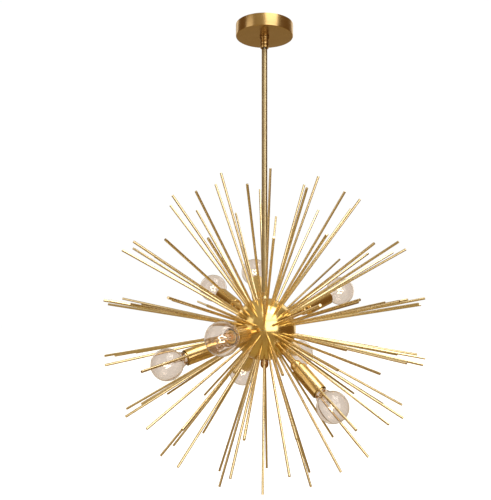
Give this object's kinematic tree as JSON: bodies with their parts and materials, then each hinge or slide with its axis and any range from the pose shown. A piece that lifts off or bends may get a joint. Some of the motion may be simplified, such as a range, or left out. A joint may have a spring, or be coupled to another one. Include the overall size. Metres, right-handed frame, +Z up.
{
  "type": "multi arm chandelier",
  "caption": "Starburst pendant chandelier: a round hub of radiating thin rods and socketed lamp arms, hung from a ceiling canopy by a straight down rod.",
  "frame": {"origin": "on the down rod's axis, in the plane of the ceiling, at the top face of the crossbar and the canopy's rim", "axes": "+Z up towards the ceiling along the down rod, -Y towards the viewer, +X to the viewer's right"},
  "size_m": [0.6605, 0.6563, 0.9664],
  "materials": {
    "satin_brass": "brushed satin brass, lacquered",
    "rod_brass": "satin brass rod",
    "polished_brass": "polished brass",
    "steel": "zinc plated steel",
    "nylon": "moulded nylon",
    "phenolic": "black moulded lampholder",
    "lead_insulation": "clear-gold lead insulation",
    "clear_glass": "clear glass globe"
  },
  "bodies": {
    "ceiling_mount": {"crossbar": "steel", "box_screw_left": "steel", "box_screw_right": "steel", "crossbar_nut": "steel", "mount_nipple": "steel", "swivel_housing": "satin_brass", "swivel_cap": "satin_brass"},
    "canopy": {"canopy": "satin_brass", "lock_ring": "satin_brass"},
    "swivel_seat": {"swivel_seat": "nylon"},
    "swivel_ball": {"swivel_ball": "steel"},
    "pendant": {"down_rod": "satin_brass", "hub_coupling": "satin_brass", "hub_shell_upper": "polished_brass", "hub_shell_lower": "polished_brass", "hub_nipple": "steel", "finial": "polished_brass", "lamp_leads": "lead_insulation", "rods_upper_10": "rod_brass", "rods_upper_30": "rod_brass", "rods_upper_50": "rod_brass", "rods_upper_70": "rod_brass", "rods_lower_10": "rod_brass", "rods_lower_30": "rod_brass", "rods_lower_50": "rod_brass", "rods_lower_70": "rod_brass", "arm_tube_1": "satin_brass", "socket_sleeve_1": "satin_brass", "lampholder_1": "phenolic", "arm_tube_2": "satin_brass", "socket_sleeve_2": "satin_brass", "lampholder_2": "phenolic", "arm_tube_3": "satin_brass", "socket_sleeve_3": "satin_brass", "lampholder_3": "phenolic", "arm_tube_4": "satin_brass", "socket_sleeve_4": "satin_brass", "lampholder_4": "phenolic", "arm_tube_5": "satin_brass", "socket_sleeve_5": "satin_brass", "lampholder_5": "phenolic", "arm_tube_6": "satin_brass", "socket_sleeve_6": "satin_brass", "lampholder_6": "phenolic", "arm_tube_7": "satin_brass", "socket_sleeve_7": "satin_brass", "lampholder_7": "phenolic", "arm_tube_8": "satin_brass", "socket_sleeve_8": "satin_brass", "lampholder_8": "phenolic"},
    "bulb_1": {"bulb_1": "clear_glass"},
    "bulb_2": {"bulb_2": "clear_glass"},
    "bulb_3": {"bulb_3": "clear_glass"},
    "bulb_4": {"bulb_4": "clear_glass"},
    "bulb_5": {"bulb_5": "clear_glass"},
    "bulb_6": {"bulb_6": "clear_glass"},
    "bulb_7": {"bulb_7": "clear_glass"},
    "bulb_8": {"bulb_8": "clear_glass"}
  },
  "joints": [
    {"name": "canopy_drop", "type": "slide", "parent": "ceiling_mount", "child": "canopy", "axis": [0, 0, -1], "range_m": [0, 0.016]},
    {"name": "swivel_tilt_x", "type": "hinge", "parent": "ceiling_mount", "child": "swivel_seat", "pos_m": [0, 0, -0.041], "axis": [1, 0, 0], "range_deg": [-11, 11]},
    {"name": "swivel_tilt_y", "type": "hinge", "parent": "swivel_seat", "child": "swivel_ball", "pos_m": [0, 0, -0.041], "axis": [0, 1, 0], "range_deg": [-11, 11]},
    {"name": "pendant_turn", "type": "hinge", "parent": "swivel_ball", "child": "pendant", "pos_m": [0, 0, -0.041], "axis": [0, 0, 1], "range_deg": [-170, 170]},
    {"name": "bulb_1_unscrew", "type": "slide", "parent": "pendant", "child": "bulb_1", "axis": [-0.528, 0.754, 0.3907], "range_m": [0, 0.03]},
    {"name": "bulb_2_unscrew", "type": "slide", "parent": "pendant", "child": "bulb_2", "axis": [-0.101, 0.8229, 0.5592], "range_m": [0, 0.03]},
    {"name": "bulb_3_unscrew", "type": "slide", "parent": "pendant", "child": "bulb_3", "axis": [0.7553, 0.5487, 0.3584], "range_m": [0, 0.03]},
    {"name": "bulb_4_unscrew", "type": "slide", "parent": "pendant", "child": "bulb_4", "axis": [-0.3254, -0.9449, -0.0349], "range_m": [0, 0.03]},
    {"name": "bulb_5_unscrew", "type": "slide", "parent": "pendant", "child": "bulb_5", "axis": [-0.8152, -0.5094, -0.2756], "range_m": [0, 0.03]},
    {"name": "bulb_6_unscrew", "type": "slide", "parent": "pendant", "child": "bulb_6", "axis": [0.5684, -0.53, -0.6293], "range_m": [0, 0.03]},
    {"name": "bulb_7_unscrew", "type": "slide", "parent": "pendant", "child": "bulb_7", "axis": [0.3737, 0.8803, -0.2924], "range_m": [0, 0.03]},
    {"name": "bulb_8_unscrew", "type": "slide", "parent": "pendant", "child": "bulb_8", "axis": [-0.2264, 0.8448, -0.4848], "range_m": [0, 0.03]}
  ]
}
